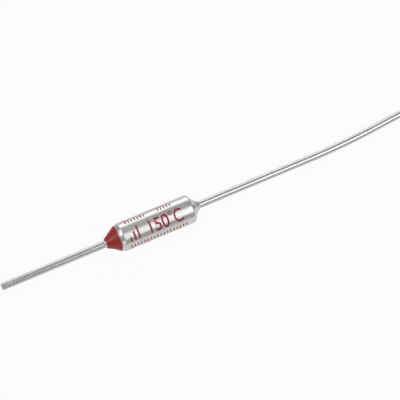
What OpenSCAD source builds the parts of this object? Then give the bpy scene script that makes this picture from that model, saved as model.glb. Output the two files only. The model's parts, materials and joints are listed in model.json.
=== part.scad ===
// Axial thermal fuse: a drawn metal case with a wire lead at each end.
// The case axis lies along X with the origin in the middle of the case.
// The resin end faces -X, the closed end with the case lead faces +X.

/* [Case] */
// Outside diameter of the case barrel
case_d = 4.0; // [3.6:0.1:5]
// Length of the case from the face of the lip to the closed end
case_len = 11.3; // [10:0.1:14]
// Thickness of the sheet that the case is drawn from
case_wall = 0.25; // [0.2:0.01:0.3]
// Length of the taper by which the rim draws in to the lip, from the face of the lip
lip_taper_len = 0.6; // [0.4:0.05:0.9]
// Angle between that taper and the case axis
lip_taper_angle = 20; // [10:1:28]
// Outside bend radius where the taper turns in over the bushing
lip_edge_r = 0.28; // [0.26:0.01:0.36]
// Diameter of the opening that the lip leaves
lip_opening_d = 2.7; // [2.2:0.1:2.8]
// Inside bend radius at the closed end
end_bend_r = 0.25; // [0.15:0.01:0.35]

/* [Neck] */
// Length of the neck from the closed end to its tip
neck_len = 1.15; // [0.9:0.05:1.6]
// Wall of the neck at its tip, around the case lead
neck_tip_wall = 0.06; // [0.04:0.01:0.12]
// Radius of the hollow flare on the outside of the neck
neck_flare_r = 3.0; // [2:0.1:6]

/* [Leads] */
// Diameter of the lead wire
lead_d = 1.0; // [0.8:0.05:1.1]
// Length of the isolated lead that stands out of the resin
isolated_free = 15.2; // [8:0.2:30]
// Diameter of the contact head on the isolated lead
contact_head_d = 1.8; // [1.6:0.05:1.9]
// Thickness of the contact head on the isolated lead
contact_head_t = 0.35; // [0.25:0.05:0.5]
// Diameter of the isolated lead inside the bushing, where the wire is upset thicker
shank_d = 1.36; // [1.1:0.02:1.5]
// Diameter of the collar upset on the isolated lead outside the bushing
collar_d = 1.7; // [1.6:0.05:1.8]
// Thickness of the rim of the collar on the isolated lead
collar_t = 0.3; // [0.2:0.05:0.4]
// Diameter of the countersunk head on the case lead
rivet_head_d = 2.2; // [1.8:0.1:2.5]
// Straight run of the case lead from the neck tip to its bend
case_lead_run = 17.0; // [8:0.1:30]
// Bend radius of the case lead, on the axis of the wire
lead_bend_r = 100; // [20:1:200]
// Angle through which the case lead bends sideways
lead_bend_angle = 6; // [2:0.5:30]
// Straight end of the case lead after its bend
case_lead_end = 4.6; // [2:0.2:12]

/* [Resin seal] */
// Length by which the resin cone stands out of the case
seal_len = 1.6; // [1.2:0.05:2.5]
// Resin left around the isolated lead at the tip of the cone
seal_tip_wall = 0.26; // [0.18:0.01:0.4]
// Edge radius at the tip of the cone
seal_tip_r = 0.12; // [0.05:0.01:0.15]
// Angle up the bend of the lip to which the resin creeps
seal_creep = 48; // [35:1:60]

/* [Bushing] */
// Diameter of the neck of the bushing that passes through the lip
bushing_neck_d = 2.1; // [1.9:0.05:2.2]
// Length of the neck of the bushing, from its seat behind the lip
bushing_neck_len = 0.9; // [0.6:0.05:1]
// Length of the bushing body
bushing_len = 2.6; // [2:0.1:3.2]
// Length of the nose that carries the contact head
nose_len = 0.45; // [0.3:0.05:0.7]
// Wall of the nose around the bore for the shank
nose_wall = 0.3; // [0.25:0.01:0.32]

/* [Contact] */
// Thickness of the star contact sheet
star_t = 0.1; // [0.08:0.01:0.15]
// Radial reach of the fingers of the star contact
finger_reach = 0.45; // [0.35:0.05:0.5]
// Axial length of the fingers of the star contact
finger_len = 0.55; // [0.4:0.05:0.8]
// Number of fingers on the star contact
finger_count = 10; // [6:1:14]
// Width of the slits between the fingers
slit_w = 0.2; // [0.1:0.02:0.3]
// Thickness of the contact disc and of the pellet disc
disc_t = 0.2; // [0.15:0.01:0.3]

/* [Springs] */
// Wire diameter of the compression spring
main_wire_d = 0.36; // [0.25:0.01:0.4]
// Number of turns of the compression spring
main_turns = 6; // [4:0.5:7]
// Wire diameter of the trip spring
trip_wire_d = 0.16; // [0.1:0.01:0.18]
// Number of turns of the trip spring
trip_turns = 3; // [2.5:0.5:3]

/* [Pellet] */
// Length of the pellet
pellet_len = 2.5; // [1.8:0.1:3.2]

/* [Fits] */
// Gap between the case wall and the pieces that slide in it
slide_gap = 0.02; // [0.01:0.005:0.04]
// Gap between the shank of the isolated lead and the bore of the bushing
bore_gap = 0.02; // [0.01:0.005:0.04]
// Gap between the finger tips of the star contact and the case wall
wipe_gap = 0.01; // [0.005:0.005:0.02]
// Gap beside a spring and around the contact disc
spring_gap = 0.05; // [0.03:0.01:0.08]
// Amount by which a chamfer clears the bend beside it
bend_gap = 0.05; // [0.03:0.01:0.1]

/* [Hidden] */
$fn = 96;

// Radii of the case, outside and inside
case_r = case_d / 2;
bore_r = case_r - case_wall;
end_out_r = end_bend_r + case_wall;
lip_opening_r = lip_opening_d / 2;
lead_r = lead_d / 2;

// Outer faces of the case and the inner faces that the stack sits between
lip_face = -case_len / 2;
end_face = case_len / 2;
bushing_seat = lip_face + case_wall;
pellet_seat = end_face - case_wall;
neck_tip = end_face + neck_len;
neck_root_r = case_r - end_out_r;
neck_tip_r = lead_r + neck_tip_wall;

// Rim of the case: where its taper starts outside and inside, and the bend at its end
taper_start = lip_face + lip_taper_len;
taper_start_in = taper_start + case_wall * tan(lip_taper_angle / 2);
lip_inner_r = bore_r - (taper_start_in - bushing_seat) * tan(lip_taper_angle);
lip_edge_from = lip_face + lip_edge_r * (1 - sin(lip_taper_angle));
lip_edge_out_r = case_r - (taper_start - lip_edge_from) * tan(lip_taper_angle);
lip_centre_r = lip_edge_out_r - lip_edge_r * cos(lip_taper_angle);

// Faces of the stack, each from the piece before it
collar_seat = bushing_seat - bushing_neck_len;
bushing_face = bushing_seat + bushing_len;
nose_face = bushing_face + nose_len;
contact_face = nose_face + contact_head_t;
star_back = contact_face + star_t;
main_spring_from = star_back + disc_t;
pellet_face = pellet_seat - pellet_len;
main_spring_to = pellet_face - disc_t;

// Radii of the pieces inside the case
slide_r = bore_r - slide_gap;
shank_r = shank_d / 2;
nose_r = shank_r + bore_gap + nose_wall;
star_flat_r = bore_r - finger_reach;
star_rim_r = bore_r - wipe_gap;
contact_disc_r = star_flat_r - star_t - spring_gap;
main_spring_r = contact_disc_r - spring_gap - main_wire_d / 2;
trip_spring_r = nose_r + spring_gap + trip_wire_d / 2;

// Springs, in wire diameters: pitch of the close end turns, and depth ground off each end
end_turn_pitch = 1.12;
ground_share = 0.2;

// Resin cone: its tip, its base circle on the bend of the lip, and the slope between them
seal_tip = lip_face - seal_len;
seal_tip_out_r = lead_r + seal_tip_wall;
seal_base_r = lip_centre_r + lip_edge_r * sin(seal_creep);
seal_base = lip_face + lip_edge_r * (1 - cos(seal_creep));
seal_slope = atan2(seal_base_r - seal_tip_out_r, seal_base - seal_tip);
seal_tip_cut = seal_tip_r / tan((90 + seal_slope) / 2);

// Solid of revolution about X from a half section drawn as [radius, place along X]
module turned() {
    rotate([-90, 0, -90]) rotate_extrude() children();
}

// Half section of a bar with a rounded edge at its far end
module round_bar(radius, from, to, to_r) {
    polygon([[0, from], [radius, from], [radius, to - to_r], [radius - to_r, to], [0, to]]);
    translate([radius - to_r, to - to_r]) circle(to_r);
}

// Half section of a plate or sleeve between two radii and two faces
module ring(inner, outer, from, to) {
    translate([inner, from]) square([outer - inner, to - from]);
}

// Half section of the outside of the rim: a taper and the bend that turns it in to the lip
module rim_section() {
    polygon([[0, lip_face], [lip_centre_r, lip_face], [lip_edge_out_r, lip_edge_from],
             [case_r, taper_start], [bore_r, taper_start_in], [0, taper_start_in]]);
    translate([lip_centre_r, lip_face + lip_edge_r]) circle(lip_edge_r);
}

// Half section of the neck: a cone hollowed by an arc through its root and its tip
module neck_section() {
    run = [neck_tip_r - neck_root_r, neck_len];
    chord = norm(run);
    side = [run[1], -run[0]] / chord;
    middle = [neck_root_r, end_face] + run / 2;
    centre = middle + side * sqrt(pow(neck_flare_r, 2) - pow(chord / 2, 2));
    difference() {
        polygon([[0, end_face - case_wall], [neck_root_r, end_face - case_wall], [neck_root_r, end_face],
                 [neck_tip_r, neck_tip], [0, neck_tip]]);
        translate(centre) circle(neck_flare_r, $fn = 180);
    }
}

// Half section of the countersunk head, also the hollow through the neck that it fills
module rivet_head_section() {
    polygon([[0, pellet_seat], [rivet_head_d / 2, pellet_seat],
             [lead_r, neck_tip], [0, neck_tip]]);
}

// Half section of the drawn case
module case_section() {
    difference() {
        union() {
            rim_section();
            round_bar(case_r, taper_start, end_face, end_out_r);
            neck_section();
        }
        polygon([[0, bushing_seat], [lip_inner_r, bushing_seat], [bore_r, taper_start_in], [0, taper_start_in]]);
        round_bar(bore_r, taper_start_in, pellet_seat, end_bend_r);
        ring(0, lip_opening_r, lip_face - case_wall, bushing_seat + case_wall);
        rivet_head_section();
        ring(0, lead_r, neck_tip - case_wall, neck_tip + case_wall);
    }
}

// Half section of the bushing: body behind the lip, neck out through it, nose on the inside
module bushing_section() {
    difference() {
        union() {
            polygon([[0, bushing_seat], [lip_inner_r - slide_gap, bushing_seat], [slide_r, taper_start_in],
                     [slide_r, bushing_face], [0, bushing_face]]);
            ring(0, bushing_neck_d / 2, collar_seat, bushing_seat + bend_gap);
            ring(0, nose_r, bushing_face - bend_gap, nose_face);
        }
        ring(0, shank_r + bore_gap, collar_seat - case_wall, nose_face + case_wall);
    }
}

// Half section of the isolated lead, held between its collar and its contact head.
// The collar swells from the tip of the resin, so the wire is bare and true as far as it stands free.
module isolated_lead_section() {
    collar_r = collar_d / 2;
    ring(0, lead_r, seal_tip - isolated_free, collar_seat);
    polygon([[0, seal_tip], [lead_r, seal_tip], [collar_r, collar_seat - collar_t],
             [collar_r, collar_seat], [0, collar_seat]]);
    ring(0, shank_r, collar_seat - collar_t, contact_face);
    ring(0, contact_head_d / 2, nose_face, contact_face);
}

// Height of a spring wire at a given turn: close end turns, open turns between them
function spring_rise(turn, turns, wire_d, rise) =
    let(close = min(end_turn_pitch * wire_d, rise / turns), open = (rise - 2 * close) / (turns - 2))
    turn < 1 ? turn * close
    : turn > turns - 1 ? rise - (turns - turn) * close
    : close + (turn - 1) * open;

// Round wire wound along X, its two end turns ground flat on the seats
module wound_spring(radius, wire_d, turns, from, to) {
    steps = 24;
    sides = 10;
    count = ceil(turns * steps);
    ground = ground_share * wire_d;
    rise = to - from - wire_d + 2 * ground;
    rings = [for (i = [0 : count], k = [0 : sides - 1])
        let(turn = turns * i / count, about = 360 * turn, angle = 360 * k / sides,
            reach = radius + wire_d / 2 * cos(angle))
        [from - ground + wire_d / 2 + spring_rise(turn, turns, wire_d, rise) + wire_d / 2 * sin(angle),
         reach * cos(about), reach * sin(about)]];
    skin = [for (i = [0 : count - 1], k = [0 : sides - 1])
        let(a = i * sides + k, b = i * sides + (k + 1) % sides)
        [a, b, b + sides, a + sides]];
    caps = [[for (k = [sides - 1 : -1 : 0]) k], [for (k = [0 : sides - 1]) count * sides + k]];
    intersection() {
        polyhedron(rings, concat(skin, caps), convexity = 10);
        translate([from, -2 * radius, -2 * radius]) cube([to - from, 4 * radius, 4 * radius]);
    }
}

// Drawn can with a turned-in lip, a rounded shoulder and a neck pressed on to the case lead
module metal_case() {
    color([0.78, 0.78, 0.77]) turned() case_section();
}

// Wire lead of the case: countersunk head in the neck, long straight run, slight sideways bend.
// Cores lap from the straight stretches into the bend, so the wire stays one piece at any length.
module case_lead() {
    bend_from = neck_tip + case_lead_run;
    color([0.74, 0.74, 0.73]) {
        turned() {
            rivet_head_section();
            ring(0, lead_r, pellet_seat, bend_from);
            ring(0, lead_r / 2, bend_from - lead_d, bend_from + lead_d);
        }
        translate([bend_from, lead_bend_r, 0]) {
            rotate([0, 0, -90])
                rotate_extrude(angle = lead_bend_angle) translate([lead_bend_r, 0]) circle(lead_r);
            rotate([0, 0, lead_bend_angle]) translate([0, -lead_bend_r, 0]) turned() {
                ring(0, lead_r, 0, case_lead_end);
                ring(0, lead_r / 2, -lead_d, lead_d);
            }
        }
    }
}

// Pressed tablet on the closed end, chamfered clear of the bend in the case
module thermal_pellet() {
    edge_c = end_bend_r + bend_gap;
    color([0.86, 0.88, 0.82]) turned()
        polygon([[0, pellet_face], [slide_r - edge_c, pellet_face], [slide_r, pellet_face + edge_c],
                 [slide_r, pellet_seat - edge_c], [slide_r - edge_c, pellet_seat], [0, pellet_seat]]);
}

// Plate that spreads the load of the compression spring over the pellet
module pellet_disc() {
    color([0.72, 0.6, 0.32]) turned() ring(0, slide_r, main_spring_to, pellet_face);
}

// Main spring between the two discs
module compression_spring() {
    color([0.55, 0.56, 0.58])
        wound_spring(main_spring_r, main_wire_d, main_turns, main_spring_from, main_spring_to);
}

// Plate behind the flat of the star contact
module contact_disc() {
    color([0.72, 0.6, 0.32]) turned() ring(0, contact_disc_r, star_back, main_spring_from);
}

// Thin sheet contact: a flat against the lead head and slit fingers that reach the case wall
module star_contact() {
    finger_foot_r = star_flat_r - star_t / 2;
    finger_edge = 1.5 * star_t;
    slit_start = 0.25;
    color([0.85, 0.84, 0.8]) difference() {
        turned() polygon([[0, contact_face], [star_flat_r, contact_face],
                          [star_rim_r, contact_face + finger_len],
                          [star_rim_r, contact_face + finger_len + finger_edge],
                          [finger_foot_r, star_back], [0, star_back]]);
        for (i = [0 : finger_count - 1])
            rotate([360 * (i + slit_start) / finger_count, 0, 0])
                translate([contact_face - star_t, finger_foot_r, -slit_w / 2])
                    cube([finger_len + finger_edge + 2 * star_t, bore_r, slit_w]);
    }
}

// Weak spring around the nose, between the bushing and the star contact
module trip_spring() {
    color([0.62, 0.62, 0.64])
        wound_spring(trip_spring_r, trip_wire_d, trip_turns, bushing_face, contact_face);
}

// Ceramic insulator held behind the lip
module ceramic_bushing() {
    color([0.93, 0.91, 0.86]) turned() bushing_section();
}

// Straight wire lead through the bushing
module isolated_lead() {
    color([0.74, 0.74, 0.73]) turned() isolated_lead_section();
}

// Epoxy seal around the neck of the bushing, drawn up the isolated lead as a cone
module resin_seal() {
    color([0.55, 0.07, 0.06]) turned() difference() {
        union() {
            polygon([[0, bushing_seat], [0, seal_tip], [seal_tip_out_r - seal_tip_cut, seal_tip],
                     [seal_tip_out_r + seal_tip_cut * sin(seal_slope), seal_tip + seal_tip_cut * cos(seal_slope)],
                     [seal_base_r, seal_base], [lip_opening_r, bushing_seat]]);
            translate([seal_tip_out_r - seal_tip_cut, seal_tip + seal_tip_r]) circle(seal_tip_r);
        }
        case_section();
        bushing_section();
        ring(0, bushing_neck_d / 2, collar_seat, bushing_seat);
        isolated_lead_section();
    }
}

metal_case();
case_lead();
thermal_pellet();
pellet_disc();
compression_spring();
contact_disc();
star_contact();
trip_spring();
ceramic_bushing();
isolated_lead();
resin_seal();
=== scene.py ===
import json
import math

import bmesh
import bpy
from mathutils import Matrix, Vector


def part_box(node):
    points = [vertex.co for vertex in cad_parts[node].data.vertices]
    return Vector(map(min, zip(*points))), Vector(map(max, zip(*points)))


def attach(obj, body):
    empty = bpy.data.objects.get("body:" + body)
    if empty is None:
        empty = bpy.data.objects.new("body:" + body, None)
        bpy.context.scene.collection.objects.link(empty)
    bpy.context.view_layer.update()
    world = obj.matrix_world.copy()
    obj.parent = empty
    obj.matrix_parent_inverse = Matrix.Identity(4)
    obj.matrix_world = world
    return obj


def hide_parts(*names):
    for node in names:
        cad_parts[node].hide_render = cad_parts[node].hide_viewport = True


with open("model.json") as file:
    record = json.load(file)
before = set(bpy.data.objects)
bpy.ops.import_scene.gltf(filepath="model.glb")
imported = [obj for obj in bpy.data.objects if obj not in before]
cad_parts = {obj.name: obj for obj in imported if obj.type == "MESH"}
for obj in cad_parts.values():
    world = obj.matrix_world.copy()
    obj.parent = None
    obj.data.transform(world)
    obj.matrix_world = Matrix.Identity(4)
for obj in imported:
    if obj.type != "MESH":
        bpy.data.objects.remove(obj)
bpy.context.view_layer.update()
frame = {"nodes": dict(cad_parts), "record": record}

# Metal case
# A can deep drawn from thin copper alloy sheet and plated a satin silver. The rim of the open end is spun
# in on a curve to a lip over the bushing; the closed end is drawn to a neck and pressed on to the lead.
MM = 0.001


def span(node):
    """Places along X where a node starts and ends, in millimetres to a hundredth."""
    low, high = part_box(node)
    return round(low.x / MM, 2), round(high.x / MM, 2)


pins = {mount["name"]: mount["dims"] for mount in frame["record"]["mounts"]}
CASE_R = pins["case_barrel"]["r_mm"]
LEAD_R = pins["case_lead"]["r_mm"]
LIP_FACE = span("metal_case")[0]
END_FACE = -LIP_FACE
SEAL_TIP, BUSHING_SEAT = span("resin_seal")
CASE_WALL = BUSHING_SEAT - LIP_FACE
# The rim leans in from the barrel at a soft crease, and more and more up to the lip
RIM_LENGTH = 0.77
CREASE_HALF = 0.07
LEAN_AT_CREASE = math.radians(12)
LEAN_AT_LIP = math.radians(27)
LIP_EDGE_R = 0.28
LIP_OPENING_R = 1.35
# Inside, a cone leads from the bore to the seat of the bushing
BORE_FROM = -5.006
SEAT_R = 1.607
# The shoulder bends most of the way in before the hollow flare of the neck begins
SHOULDER_R = 0.50
SHOULDER_TO_DEG = 14
NECK_TIP = 6.72
NECK_TIP_R = 0.57
NECK_FLARE_R = 3.0
RIVET_HEAD_R = 1.10
EDGE_BREAK = 0.03
BARREL_INSET = 0.02
SHARP_EDGE = math.radians(32)
PLATING_DARK = (0.79, 0.785, 0.77)
PLATING_LIGHT = (0.85, 0.845, 0.83)
PLATING_ROUGH = (0.26, 0.34)


def arc(cx, cr, radius, start, end, steps):
    """Points of an arc in the section plane (place along X, radius), angles in degrees from +X."""
    points = []
    for i in range(steps + 1):
        angle = math.radians(start + (end - start) * i / steps)
        points.append((cx + radius * math.cos(angle), cr + radius * math.sin(angle)))
    return points


def hollow_arc(a, b, radius, steps):
    """Points of the arc from a to b that bows in towards the axis."""
    (ax, ar), (bx, br) = a, b
    chord = math.hypot(bx - ax, br - ar)
    rise = math.sqrt(radius ** 2 - (chord / 2) ** 2)
    cx = (ax + bx) / 2 - (br - ar) / chord * rise
    cr = (ar + br) / 2 + (bx - ax) / chord * rise
    start = math.degrees(math.atan2(ar - cr, ax - cx))
    end = math.degrees(math.atan2(br - cr, bx - cx))
    return arc(cx, cr, radius, start, end, steps)


def steps_between(a, b, count):
    """Evenly spaced section points from a towards b, without b."""
    return [(a[0] + (b[0] - a[0]) * i / count, a[1] + (b[1] - a[1]) * i / count) for i in range(count)]


def as_piece(name, bm):
    """Object made of a finished bmesh in millimetres, shaded smooth up to the sharp edges."""
    bmesh.ops.scale(bm, vec=(MM, MM, MM), verts=bm.verts)
    bmesh.ops.recalc_face_normals(bm, faces=bm.faces)
    mesh = bpy.data.meshes.new(name)
    bm.to_mesh(mesh)
    bm.free()
    mesh.polygons.foreach_set("use_smooth", [True] * len(mesh.polygons))
    mesh.set_sharp_from_angle(angle=SHARP_EDGE)
    piece = bpy.data.objects.new(name, mesh)
    bpy.context.scene.collection.objects.link(piece)
    return piece


def turned(name, section, sides=160, closed=True, swell=None):
    """Solid of revolution about X. section lists (place along X, radius); swell(x, r, angle) shifts r."""
    bm = bmesh.new()
    rings = []
    for x, r in section:
        if r == 0:
            rings.append([bm.verts.new((x, 0, 0))])
            continue
        ring = []
        for k in range(sides):
            angle = 2 * math.pi * k / sides
            reach = r + (swell(x, r, angle) if swell else 0)
            ring.append(bm.verts.new((x, -reach * math.cos(angle), reach * math.sin(angle))))
        rings.append(ring)
    pairs = list(zip(rings, rings[1:]))
    if closed:
        pairs.append((rings[-1], rings[0]))
    for a, b in pairs:
        for k in range(sides):
            after = (k + 1) % sides
            corners = (a[k % len(a)], a[after % len(a)], b[after % len(b)], b[k % len(b)])
            unique = list(dict.fromkeys(corners))
            if len(unique) > 2:
                bm.faces.new(unique)
    return as_piece(name, bm)


crease_r = CREASE_HALF / math.tan(LEAN_AT_CREASE / 2)
crease_centre = (LIP_FACE + RIM_LENGTH + CREASE_HALF, CASE_R - crease_r)
rim_from = crease_centre[0] - crease_r * math.sin(LEAN_AT_CREASE)
rim_to = LIP_FACE + LIP_EDGE_R * (1 - math.sin(LEAN_AT_LIP))
rim_r = (rim_from - rim_to) / (math.sin(LEAN_AT_LIP) - math.sin(LEAN_AT_CREASE))
rim_centre = (rim_from + rim_r * math.sin(LEAN_AT_CREASE),
              crease_centre[1] + (crease_r - rim_r) * math.cos(LEAN_AT_CREASE))


def rim_radius(x):
    """Radius of the spun rim at a place along X."""
    return rim_centre[1] + math.sqrt(rim_r ** 2 - (rim_centre[0] - x) ** 2)


lip_centre = (LIP_FACE + LIP_EDGE_R, rim_radius(rim_to) - LIP_EDGE_R * math.cos(LEAN_AT_LIP))
lip_to_deg = 90 + math.degrees(LEAN_AT_LIP)
rim_to_deg = 90 + math.degrees(LEAN_AT_CREASE)
shoulder_centre = (END_FACE - SHOULDER_R, CASE_R - SHOULDER_R)
neck_from = (END_FACE + EDGE_BREAK, CASE_R - SHOULDER_R - EDGE_BREAK)

case_section = [(LIP_FACE, LIP_OPENING_R + EDGE_BREAK)]
case_section += arc(*lip_centre, LIP_EDGE_R, 180, lip_to_deg, steps=10)[:-1]
case_section += arc(*rim_centre, rim_r, lip_to_deg, rim_to_deg, steps=10)[:-1]
case_section += arc(*crease_centre, crease_r, rim_to_deg, 90, steps=8)
barrel_from = (crease_centre[0] + BARREL_INSET, CASE_R)
case_section += steps_between(barrel_from, (shoulder_centre[0], CASE_R), count=24)
case_section += arc(*shoulder_centre, SHOULDER_R, 90, SHOULDER_TO_DEG, steps=12)
case_section += hollow_arc(neck_from, (NECK_TIP - EDGE_BREAK, NECK_TIP_R), NECK_FLARE_R, steps=16)
case_section += [(NECK_TIP, NECK_TIP_R - EDGE_BREAK), (NECK_TIP, LEAD_R)]
case_section += [(END_FACE - CASE_WALL, RIVET_HEAD_R)]
case_section += arc(*shoulder_centre, SHOULDER_R - CASE_WALL, 0, 90, steps=6)
case_section += [(BORE_FROM, CASE_R - CASE_WALL), (BUSHING_SEAT, SEAT_R)]
case_section += [(BUSHING_SEAT, LIP_OPENING_R), (LIP_FACE + EDGE_BREAK, LIP_OPENING_R)]
case = turned("metal_case_shell", case_section)


def material(name):
    """New node material, with its node tree and its Principled shader."""
    made = bpy.data.materials.new(name)
    made.use_nodes = True
    return made, made.node_tree, made.node_tree.nodes["Principled BSDF"]


def add(tree, kind, **values):
    """Node of that kind, with inputs or properties set by name."""
    node = tree.nodes.new(kind)
    for key, value in values.items():
        if key in node.inputs:
            node.inputs[key].default_value = value
        else:
            setattr(node, key, value)
    return node


# Most of a noise lies between these two factors
NOISE_LOW = 0.3
NOISE_HIGH = 0.7


def grain(tree, stretch, scale):
    """Noise over the piece in millimetres, stretched by a factor along each axis."""
    coords = add(tree, "ShaderNodeTexCoord")
    mapping = add(tree, "ShaderNodeMapping", Scale=[factor / MM for factor in stretch])
    noise = add(tree, "ShaderNodeTexNoise", Scale=scale, Detail=4.0, Roughness=0.6)
    tree.links.new(coords.outputs["Object"], mapping.inputs["Vector"])
    tree.links.new(mapping.outputs["Vector"], noise.inputs["Vector"])
    return noise.outputs["Fac"]


def tones(tree, factor, dark, light, low=NOISE_LOW, high=NOISE_HIGH):
    """Colour that follows a noise factor from a dark tone to a light one."""
    node = add(tree, "ShaderNodeValToRGB")
    for stop, position, tone in zip(node.color_ramp.elements, (low, high), (dark, light)):
        stop.position = position
        stop.color = (*tone, 1)
    tree.links.new(factor, node.inputs["Fac"])
    return node.outputs["Color"]


def spread(tree, factor, first, last, low=NOISE_LOW, high=NOISE_HIGH):
    """Value that goes from first to last while a factor goes from low to high."""
    node = add(tree, "ShaderNodeMapRange")
    for socket, value in zip(("From Min", "From Max", "To Min", "To Max"), (low, high, first, last)):
        node.inputs[socket].default_value = value
    tree.links.new(factor, node.inputs["Value"])
    return node.outputs["Result"]


def bump(tree, shader, height, depth, strength):
    """Bump on the shader from a height in 0 to 1, over a depth in millimetres."""
    node = add(tree, "ShaderNodeBump", Strength=strength, Distance=depth * MM)
    tree.links.new(height, node.inputs["Height"])
    tree.links.new(node.outputs["Normal"], shader.inputs["Normal"])


plating, tree, shader = material("satin_plating")
shader.inputs["Metallic"].default_value = 1.0
draw_lines = grain(tree, stretch=(0.25, 9, 9), scale=1.0)
mottle = grain(tree, stretch=(1, 1, 1), scale=2.2)
tree.links.new(tones(tree, mottle, PLATING_DARK, PLATING_LIGHT), shader.inputs["Base Color"])
tree.links.new(spread(tree, draw_lines, *PLATING_ROUGH), shader.inputs["Roughness"])
bump(tree, shader, draw_lines, depth=0.004, strength=0.12)
case.data.materials.append(plating)
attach(case, "root")
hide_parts("metal_case")

# Marking on the case
# Crimson ink, pad printed on the barrel in three rows: rising bars and a plain temperature in the middle
# row, plain scales above and below it. The film is so thin that the plating shines through it.
INK_LIFT = 0.008
FILM = 0.7 * INK_LIFT
CORNER_R = 0.06
HALF_ROW = 0.99
MIDDLE_ROW_DEG = 57.0
UPPER_ROW_DEG = 134.5
LOWER_ROW_DEG = -16.5
NUMBER_SPAN = (-1.15, 1.70)
DEGREE_SPAN = (1.83, 2.40)
DEGREE_RISE = (0.40, 1.02)
UNIT_SPAN = (2.48, 3.74)
NUMBER_WEIGHT = 0.012
DEGREE_WEIGHT = 0.006
BAR_COUNT = 3
BARS_FROM = -4.2
BAR_PITCH = 0.62
BAR_STROKE = 0.24
TICK_STROKE = 0.17
LONG_TICK_EVERY = 5
SHORT_TICK_SHARE = 0.62
INK_DARK = (0.43, 0.05, 0.08)
INK_LIGHT = (0.50, 0.07, 0.105)
INK_ROUGH = (0.3, 0.45)

ink, tree, shader = material("crimson_ink")
shader.inputs["Metallic"].default_value = 0.75
wear = grain(tree, stretch=(1, 1, 1), scale=6.0)
tree.links.new(tones(tree, wear, INK_DARK, INK_LIGHT, low=0.35, high=0.65), shader.inputs["Base Color"])
tree.links.new(spread(tree, wear, *INK_ROUGH), shader.inputs["Roughness"])


def flat_text(words, x_span, y_span, weight):
    """Flat mesh of plain lettering that fills a box, in millimetres."""
    curve = bpy.data.curves.new("lettering", "FONT")
    curve.body = words
    curve.fill_mode = "FRONT"
    curve.offset = weight
    curve.resolution_u = 6
    text = bpy.data.objects.new("lettering", curve)
    bpy.context.scene.collection.objects.link(text)
    seen = text.evaluated_get(bpy.context.evaluated_depsgraph_get())
    mesh = bpy.data.meshes.new_from_object(seen)
    bpy.data.objects.remove(text)
    bpy.data.curves.remove(curve)
    xs = [v.co.x for v in mesh.vertices]
    ys = [v.co.y for v in mesh.vertices]
    for v in mesh.vertices:
        v.co.x = x_span[0] + (v.co.x - min(xs)) / (max(xs) - min(xs)) * (x_span[1] - x_span[0])
        v.co.y = y_span[0] + (v.co.y - min(ys)) / (max(ys) - min(ys)) * (y_span[1] - y_span[0])
    return mesh


def flat_bar(x_from, x_to, y_from, y_to):
    """Flat mesh of a bar with rounded corners, in millimetres."""
    left, right = x_from + CORNER_R, x_to - CORNER_R
    bottom, top = y_from + CORNER_R, y_to - CORNER_R
    outline = []
    for cx, cy, start in ((right, top, 0), (left, top, 90), (left, bottom, 180), (right, bottom, 270)):
        outline += [(x, y, 0) for x, y in arc(cx, cy, CORNER_R, start, start + 90, steps=4)]
    mesh = bpy.data.meshes.new("bar")
    mesh.from_pydata(outline, [], [list(range(len(outline)))])
    return mesh


def scale_row(x_from, count, pitch, base, long_tick):
    """Flat bars of a plain scale: ticks from a base line, some of them long, towards long_tick's sign."""
    bars = []
    for i in range(count):
        x = x_from + pitch * i
        reach = base + long_tick * (SHORT_TICK_SHARE if i % LONG_TICK_EVERY else 1.0)
        bars.append(flat_bar(x, x + TICK_STROKE, min(base, reach), max(base, reach)))
    return bars


# The flat print is cut into strips so that it can curve, and a point within the snap counts as on the cut
STRIP = 0.08
STRIP_SNAP = 0.001


def printed(name, flats, row_deg):
    """Ink film: flat meshes wrapped round the barrel, y along its arc from the angle of the row."""
    bm = bmesh.new()
    for mesh in flats:
        bm.from_mesh(mesh)
        bpy.data.meshes.remove(mesh)
    low = min(v.co.y for v in bm.verts)
    high = max(v.co.y for v in bm.verts)
    strips = int((high - low) / STRIP)
    for i in range(1, strips):
        everything = bm.verts[:] + bm.edges[:] + bm.faces[:]
        cut_at = (0, low + (high - low) * i / strips, 0)
        bmesh.ops.bisect_plane(bm, geom=everything, dist=STRIP_SNAP, plane_co=cut_at, plane_no=(0, 1, 0))
    bmesh.ops.triangulate(bm, faces=bm.faces)
    lifted = CASE_R + INK_LIFT
    for v in bm.verts:
        angle = math.radians(row_deg) + v.co.y / CASE_R
        v.co = Vector((v.co.x, -lifted * math.cos(angle), lifted * math.sin(angle)))
    piece = as_piece(name, bm)
    film = piece.modifiers.new("film", "SOLIDIFY")
    film.thickness = FILM * MM
    film.offset = -1
    piece.data.materials.append(ink)
    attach(piece, "root")


row = (-HALF_ROW, HALF_ROW)
printed("print_number", [flat_text("150", NUMBER_SPAN, row, NUMBER_WEIGHT)], MIDDLE_ROW_DEG)
unit = [flat_text("C", UNIT_SPAN, row, NUMBER_WEIGHT),
        flat_text("°", DEGREE_SPAN, DEGREE_RISE, DEGREE_WEIGHT)]
printed("print_unit", unit, MIDDLE_ROW_DEG)
rising = []
for i in range(BAR_COUNT):
    x = BARS_FROM + BAR_PITCH * i
    rising.append(flat_bar(x, x + BAR_STROKE, -HALF_ROW, -HALF_ROW + 2 * HALF_ROW * (i + 1) / BAR_COUNT))
printed("print_steps", rising, MIDDLE_ROW_DEG)
upper = scale_row(x_from=-4.0, count=7, pitch=0.45, base=-HALF_ROW, long_tick=0.8)
upper += scale_row(x_from=0.8, count=5, pitch=0.45, base=-HALF_ROW, long_tick=0.8)
printed("print_upper_row", upper, UPPER_ROW_DEG)
lower = scale_row(x_from=-4.3, count=18, pitch=0.48, base=HALF_ROW, long_tick=-1.0)
printed("print_lower_row", lower, LOWER_ROW_DEG)

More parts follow.
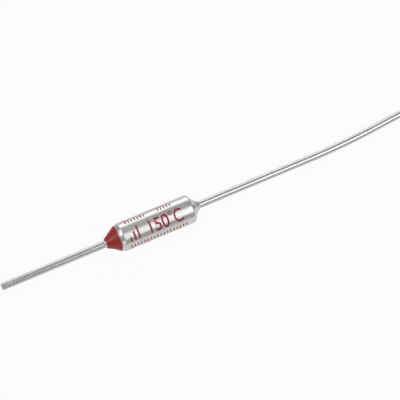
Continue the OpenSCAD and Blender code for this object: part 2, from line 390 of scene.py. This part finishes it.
# Leads
# Copper wire with bright tin plating, drawn round and cut square with shears. A collar, a thick shank and
# a contact head lock the isolated lead in the bushing; the case lead fills the neck with a sunk head.
ISOLATED_END, CONTACT_FACE = span("isolated_lead")
COLLAR_SEAT, HEAD_SEAT = span("ceramic_bushing")
COLLAR_T = 0.30
COLLAR_R = 0.85
SHANK_R = 0.68
CONTACT_HEAD_R = 0.90
BEND_FROM = 23.8
BEND_R = 100.0
BEND = math.radians(6)
STRAIGHT_END = pins["case_lead"]["length_mm"]
CUT_EDGE = 0.05
CUT_EDGE_BULGE = 0.4 * CUT_EDGE
CUT_DISH = 0.02
CUT_DISH_R = 0.2
CUT_TO_RING = 0.4
NECK_TO_RING = 0.2
LEAD_SIDES = 64
TIN_DARK = (0.66, 0.66, 0.65)
TIN_LIGHT = (0.74, 0.74, 0.73)
TIN_ROUGH = (0.20, 0.30)


def cut_face(x, outward):
    """Section points of a sheared wire end: a slightly dished face and a broken edge."""
    return [(x - outward * CUT_DISH, 0), (x, CUT_DISH_R), (x, LEAD_R - CUT_EDGE),
            (x - outward * CUT_EDGE_BULGE, LEAD_R - CUT_EDGE_BULGE), (x - outward * CUT_EDGE, LEAD_R)]


def bent(x, y):
    """Place of a point of the straight wire once the wire is bent towards +Y."""
    past = max(0, x - BEND_FROM)
    turn = min(past / BEND_R, BEND)
    beyond = x - BEND_FROM - turn * BEND_R
    return (BEND_FROM + (BEND_R - y) * math.sin(turn) + beyond * math.cos(turn),
            BEND_R - (BEND_R - y) * math.cos(turn) + beyond * math.sin(turn))


isolated_section = cut_face(ISOLATED_END, outward=-1)
isolated_section += steps_between((ISOLATED_END + CUT_TO_RING, LEAD_R), (SEAL_TIP, LEAD_R), count=40)
isolated_section += [(SEAL_TIP, LEAD_R), (COLLAR_SEAT - COLLAR_T, COLLAR_R)]
isolated_section += [(COLLAR_SEAT, COLLAR_R), (COLLAR_SEAT, SHANK_R)]
isolated_section += [(HEAD_SEAT, SHANK_R), (HEAD_SEAT, CONTACT_HEAD_R)]
isolated_section += [(CONTACT_FACE, CONTACT_HEAD_R), (CONTACT_FACE, 0)]
isolated = turned("isolated_lead_wire", isolated_section, sides=LEAD_SIDES, closed=False)

wire_to = BEND_FROM + BEND_R * BEND + STRAIGHT_END
head_face = END_FACE - CASE_WALL
case_lead_section = [(head_face, 0), (head_face, RIVET_HEAD_R), (NECK_TIP, LEAD_R)]
wire_from = (NECK_TIP + NECK_TO_RING, LEAD_R)
case_lead_section += steps_between(wire_from, (wire_to - CUT_EDGE, LEAD_R), count=120)
case_lead_section += reversed(cut_face(wire_to, outward=1))
case_lead = turned("case_lead_wire", case_lead_section, sides=LEAD_SIDES, closed=False)
for v in case_lead.data.vertices:
    x, y = bent(v.co.x / MM, v.co.y / MM)
    v.co.x = x * MM
    v.co.y = y * MM

tin, tree, shader = material("tinned_wire")
shader.inputs["Metallic"].default_value = 1.0
die_lines = grain(tree, stretch=(0.12, 14, 14), scale=1.0)
smear = grain(tree, stretch=(0.5, 1.5, 1.5), scale=1.6)
tree.links.new(tones(tree, smear, TIN_DARK, TIN_LIGHT), shader.inputs["Base Color"])
tree.links.new(spread(tree, smear, *TIN_ROUGH), shader.inputs["Roughness"])
bump(tree, shader, die_lines, depth=0.004, strength=0.2)
for wire, node in ((isolated, "isolated_lead"), (case_lead, "case_lead")):
    wire.data.materials.append(tin)
    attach(wire, "root")
    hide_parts(node)

# Resin seal
# Red two part epoxy, dispensed over the neck of the bushing and cured. It wets the lip and the lead, so it
# stands as a cone with a rounded tip, straight above and slightly hollow where it hung while it cured.
TIP_LAND = 0.08
TIP_EDGE_R = 0.12
TIP_CENTRE_R = 0.64
TIP_TO_DEG = 118
SEAL_BASE = -5.42
SEAL_BEAD = 0.04
BEAD_LIFT = 0.036
FLANK_STEPS = 28
FLANK_HOLLOW = 0.01
LIP_SKIN = 0.004
BASE_TUCK = 0.005
OPENING_GAP = 0.01
BUSHING_NECK_R = 1.05
# Unevenness of the cone: how deep it hangs in the middle and at the edge, and its ripple round the axis
HUNG_AT = math.radians(-27)
HANG_TO = 0.9
HANG_DEPTH = 0.085
EDGE_FROM = 0.8
EDGE_DEPTH = 0.09
EDGE_FOCUS = 4
RIPPLE = 0.012
RIPPLE_LOBES = 3
RIPPLE_TURN = 0.7
SMOOTH_TO = 0.05
SMOOTH_R = 0.61
RESIN_DARK = (0.39, 0.013, 0.009)
RESIN_LIGHT = (0.45, 0.018, 0.012)
RESIN_ROUGH = (0.22, 0.34)


def slump(x, r, angle):
    """Shift in radius of the cured cone: hollow where it hung, with a drawn edge and a ripple."""
    along = (x - SEAL_TIP) / (SEAL_BASE - SEAL_TIP)
    if not SMOOTH_TO < along <= 1 or r < SMOOTH_R:
        return 0
    hung = 0.5 + 0.5 * math.cos(angle - HUNG_AT)
    middle = math.sin(math.pi * min(1, along / HANG_TO))
    edge = max(0, along - EDGE_FROM) / (1 - EDGE_FROM)
    ripple = RIPPLE * middle * math.sin(RIPPLE_LOBES * angle + RIPPLE_TURN)
    return ripple - HANG_DEPTH * middle * hung - EDGE_DEPTH * edge * hung ** EDGE_FOCUS


base_r = rim_radius(SEAL_BASE)
seal_section = [(SEAL_TIP + EDGE_BREAK, LEAD_R), (SEAL_TIP, LEAD_R + TIP_LAND)]
seal_section += arc(SEAL_TIP + TIP_EDGE_R, TIP_CENTRE_R, TIP_EDGE_R, 180, TIP_TO_DEG, steps=6)
flank_from = seal_section[-1]
flank_to = (SEAL_BASE - SEAL_BEAD, base_r + BEAD_LIFT)
for i in range(1, FLANK_STEPS + 1):
    t = i / FLANK_STEPS
    hollow = FLANK_HOLLOW * 4 * t * (1 - t)
    x = flank_from[0] + (flank_to[0] - flank_from[0]) * t
    seal_section.append((x, flank_from[1] + (flank_to[1] - flank_from[1]) * t - hollow))
seal_section += [(SEAL_BASE, base_r - BASE_TUCK)]
seal_section += arc(*lip_centre, LIP_EDGE_R + LIP_SKIN, lip_to_deg, 180, steps=8)
plug_r = LIP_OPENING_R - OPENING_GAP
seal_section += [(LIP_FACE, LIP_OPENING_R + EDGE_BREAK), (LIP_FACE + EDGE_BREAK, plug_r)]
seal_section += [(BUSHING_SEAT, plug_r), (BUSHING_SEAT, BUSHING_NECK_R)]
seal_section += [(COLLAR_SEAT, BUSHING_NECK_R), (COLLAR_SEAT, COLLAR_R)]
seal_section += [(COLLAR_SEAT - COLLAR_T, COLLAR_R)]
seal = turned("resin_seal_cone", seal_section, swell=slump)

resin, tree, shader = material("red_resin")
shader.inputs["Specular IOR Level"].default_value = 0.7
cloud = grain(tree, stretch=(1, 1, 1), scale=1.3)
ripples = grain(tree, stretch=(1, 1, 1), scale=3.0)
tree.links.new(tones(tree, cloud, RESIN_DARK, RESIN_LIGHT), shader.inputs["Base Color"])
tree.links.new(spread(tree, cloud, *RESIN_ROUGH), shader.inputs["Roughness"])
bump(tree, shader, ripples, depth=0.02, strength=0.35)
seal.data.materials.append(resin)
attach(seal, "root")
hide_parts("resin_seal")

# Pieces inside the case
# The stack that the case hides: pressed tablet, blanked brass discs, wound springs, silver star contact
# and ceramic bushing. They keep the forms of their solids and get the finish of their own material.
EVEN = (1, 1, 1)
ROLLED = (1, 4, 0.3)
DRAWN = (3, 3, 3)


def inside(name, metallic, dark, light, rough, stretch, scale, depth):
    """Material of a hidden piece: two tones of grain, roughness and bump at the scale of its making."""
    made, tree, shader = material(name)
    shader.inputs["Metallic"].default_value = metallic
    noise = grain(tree, stretch, scale)
    tree.links.new(tones(tree, noise, dark, light), shader.inputs["Base Color"])
    tree.links.new(spread(tree, noise, *rough), shader.inputs["Roughness"])
    bump(tree, shader, noise, depth, strength=0.4)
    return made


pressed = inside("pellet_compound", metallic=0.0, dark=(0.62, 0.66, 0.55), light=(0.82, 0.84, 0.76),
                 rough=(0.75, 0.95), stretch=EVEN, scale=7.0, depth=0.02)
brass = inside("brass_sheet", metallic=1.0, dark=(0.58, 0.42, 0.17), light=(0.72, 0.56, 0.27),
               rough=(0.25, 0.4), stretch=ROLLED, scale=3.0, depth=0.004)
wound = inside("spring_wire", metallic=1.0, dark=(0.38, 0.38, 0.40), light=(0.52, 0.52, 0.54),
               rough=(0.25, 0.4), stretch=DRAWN, scale=3.0, depth=0.003)
silver = inside("silver_sheet", metallic=1.0, dark=(0.80, 0.79, 0.75), light=(0.90, 0.89, 0.86),
                rough=(0.15, 0.28), stretch=ROLLED, scale=3.0, depth=0.002)
fired = inside("white_ceramic", metallic=0.0, dark=(0.76, 0.74, 0.67), light=(0.86, 0.84, 0.79),
               rough=(0.55, 0.75), stretch=EVEN, scale=9.0, depth=0.01)
finishes = {
    "thermal_pellet": pressed,
    "pellet_disc": brass,
    "contact_disc": brass,
    "compression_spring": wound,
    "trip_spring": wound,
    "star_contact": silver,
    "ceramic_bushing": fired,
}
for node, finish in finishes.items():
    slots = frame["nodes"][node].data.materials
    slots.clear()
    slots.append(finish)

# Floor, light and camera
# White paper under the case, a large soft box in front on the right, a lower one behind, and small fills
# for the rim and the resin, in a grey room. The camera looks down on the case from its resin end.
FLOOR_HALF = 0.9
FLOOR_Z = -CASE_R * MM
PAPER_GREY = (0.65, 0.65, 0.65, 1)
# Share of the white glow that the camera sees, and that metal mirrors
SEEN_SHARE = 0.95
MIRRORED_SHARE = 0.80
# Painted pool of light on the floor, seen only in the metal's reflections: strength of the mirrored glow
# under the case and out at the sides, and where it starts and ends to fade
PAINTED_POOL_UNDER = 0.78
PAINTED_POOL_ASIDE = 0.20
FADE_FROM = 0.006
FADE_TO = 0.045
ROOM_GREY = 0.31

floor_mesh = bpy.data.meshes.new("floor")
corners = [(FLOOR_HALF * x, FLOOR_HALF * y, FLOOR_Z) for x, y in ((-1, -1), (1, -1), (1, 1), (-1, 1))]
floor_mesh.from_pydata(corners, [], [(0, 1, 2, 3)])
floor = bpy.data.objects.new("floor", floor_mesh)
bpy.context.scene.collection.objects.link(floor)


def maths(tree, operation, *values):
    """Result of a math node; a value is a number or another node's output."""
    node = add(tree, "ShaderNodeMath", operation=operation)
    for socket, value in zip(node.inputs, values):
        if isinstance(value, float):
            socket.default_value = value
        else:
            tree.links.new(value, socket)
    return node.outputs["Value"]


paper, tree, shader = material("white_paper")
shader.inputs["Base Color"].default_value = PAPER_GREY
shader.inputs["Roughness"].default_value = 0.9
shader.inputs["Specular IOR Level"].default_value = 0.1
rays = add(tree, "ShaderNodeLightPath").outputs
place = add(tree, "ShaderNodeSeparateXYZ")
tree.links.new(add(tree, "ShaderNodeTexCoord").outputs["Object"], place.inputs["Vector"])
# Painted pool of light: the glow that metal mirrors is strong under the case and fades out at the sides
aside = maths(tree, "ABSOLUTE", place.outputs["Y"])
painted_light_pool = spread(tree, aside, PAINTED_POOL_UNDER, PAINTED_POOL_ASIDE, low=FADE_FROM, high=FADE_TO)
glow = add(tree, "ShaderNodeEmission")
tree.links.new(maths(tree, "MAXIMUM", painted_light_pool, rays["Is Camera Ray"]), glow.inputs["Strength"])
mirrored = maths(tree, "MAXIMUM", rays["Is Glossy Ray"], rays["Is Transmission Ray"])
seen = maths(tree, "MULTIPLY", rays["Is Camera Ray"], SEEN_SHARE)
blend = add(tree, "ShaderNodeMixShader")
tree.links.new(maths(tree, "MULTIPLY_ADD", mirrored, MIRRORED_SHARE, seen), blend.inputs["Fac"])
tree.links.new(shader.outputs["BSDF"], blend.inputs[1])
tree.links.new(glow.outputs["Emission"], blend.inputs[2])
tree.links.new(blend.outputs["Shader"], tree.nodes["Material Output"].inputs["Surface"])
floor.data.materials.append(paper)

world = bpy.data.worlds.new("grey_room")
world.use_nodes = True
room = world.node_tree.nodes["Background"]
room.inputs["Color"].default_value = (1, 1, 1, 1)
room.inputs["Strength"].default_value = ROOM_GREY
bpy.context.scene.world = world


def soft_box(name, place, aim, size, radiance):
    """Rectangular area light at a place in metres, facing a point, with the given radiance."""
    light = bpy.data.lights.new(name, "AREA")
    light.shape = "RECTANGLE"
    light.size, light.size_y = size
    light.energy = radiance * math.pi * size[0] * size[1]
    box = bpy.data.objects.new(name, light)
    box.location = place
    box.rotation_euler = (Vector(place) - Vector(aim)).to_track_quat("Z", "Y").to_euler()
    box.visible_camera = False
    bpy.context.scene.collection.objects.link(box)


def round_case(angle_deg, distance, x):
    """Place at an angle round the case axis, counted from the front horizon over the top."""
    angle = math.radians(angle_deg)
    return (x, -distance * math.cos(angle), distance * math.sin(angle))


MIDDLE = (0, 0, 0)
BOX_FAR = 0.35
FRONT_DEG = 53
FRONT_X = 0.20
BACK_DEG = 155.5
BACK_X = 0.15
front = round_case(FRONT_DEG, BOX_FAR, FRONT_X)
behind = round_case(BACK_DEG, BOX_FAR, BACK_X)
soft_box("front_box", front, (FRONT_X, 0, 0), size=(0.29, 0.295), radiance=1.4)
soft_box("back_box", behind, (BACK_X, 0, 0), size=(0.30, 0.23), radiance=1.2)
soft_box("left_fill", (-0.105, 0.047, 0.341), MIDDLE, size=(0.30, 0.12), radiance=1.5)
soft_box("resin_fill", (-0.277, 0.043, 0.227), MIDDLE, size=(0.20, 0.12), radiance=1.7)
soft_box("rim_fill", (-0.105, -0.325, 0.070), MIDDLE, size=(0.12, 0.10), radiance=1.2)

CAMERA_AZIMUTH = math.radians(-25.7)
CAMERA_ELEVATION = math.radians(60)
CAMERA_DISTANCE = 0.250
PHOTO_SIZE = 400
PIXELS_PER_MM = 7.35
ORIGIN_PIXEL = (154.3, 223.5)
level = math.cos(CAMERA_ELEVATION)
back = Vector((math.sin(CAMERA_AZIMUTH) * level,
               -math.cos(CAMERA_AZIMUTH) * level,
               math.sin(CAMERA_ELEVATION)))
right = Vector((math.cos(CAMERA_AZIMUTH), math.sin(CAMERA_AZIMUTH), 0))
up = back.cross(right)
across = (PHOTO_SIZE / 2 - ORIGIN_PIXEL[0]) / PIXELS_PER_MM * MM
above = (ORIGIN_PIXEL[1] - PHOTO_SIZE / 2) / PIXELS_PER_MM * MM
camera_data = bpy.data.cameras.new("camera")
camera_data.sensor_width = 36
camera_data.lens = PIXELS_PER_MM * CAMERA_DISTANCE / MM * camera_data.sensor_width / PHOTO_SIZE
camera_data.clip_start = 0.005
camera = bpy.data.objects.new("camera", camera_data)
facing = Matrix((right, up, back)).transposed().to_4x4()
camera.matrix_world = Matrix.Translation(right * across + up * above + back * CAMERA_DISTANCE) @ facing
bpy.context.scene.collection.objects.link(camera)
bpy.context.scene.camera = camera
bpy.context.scene.view_settings.view_transform = "Standard"
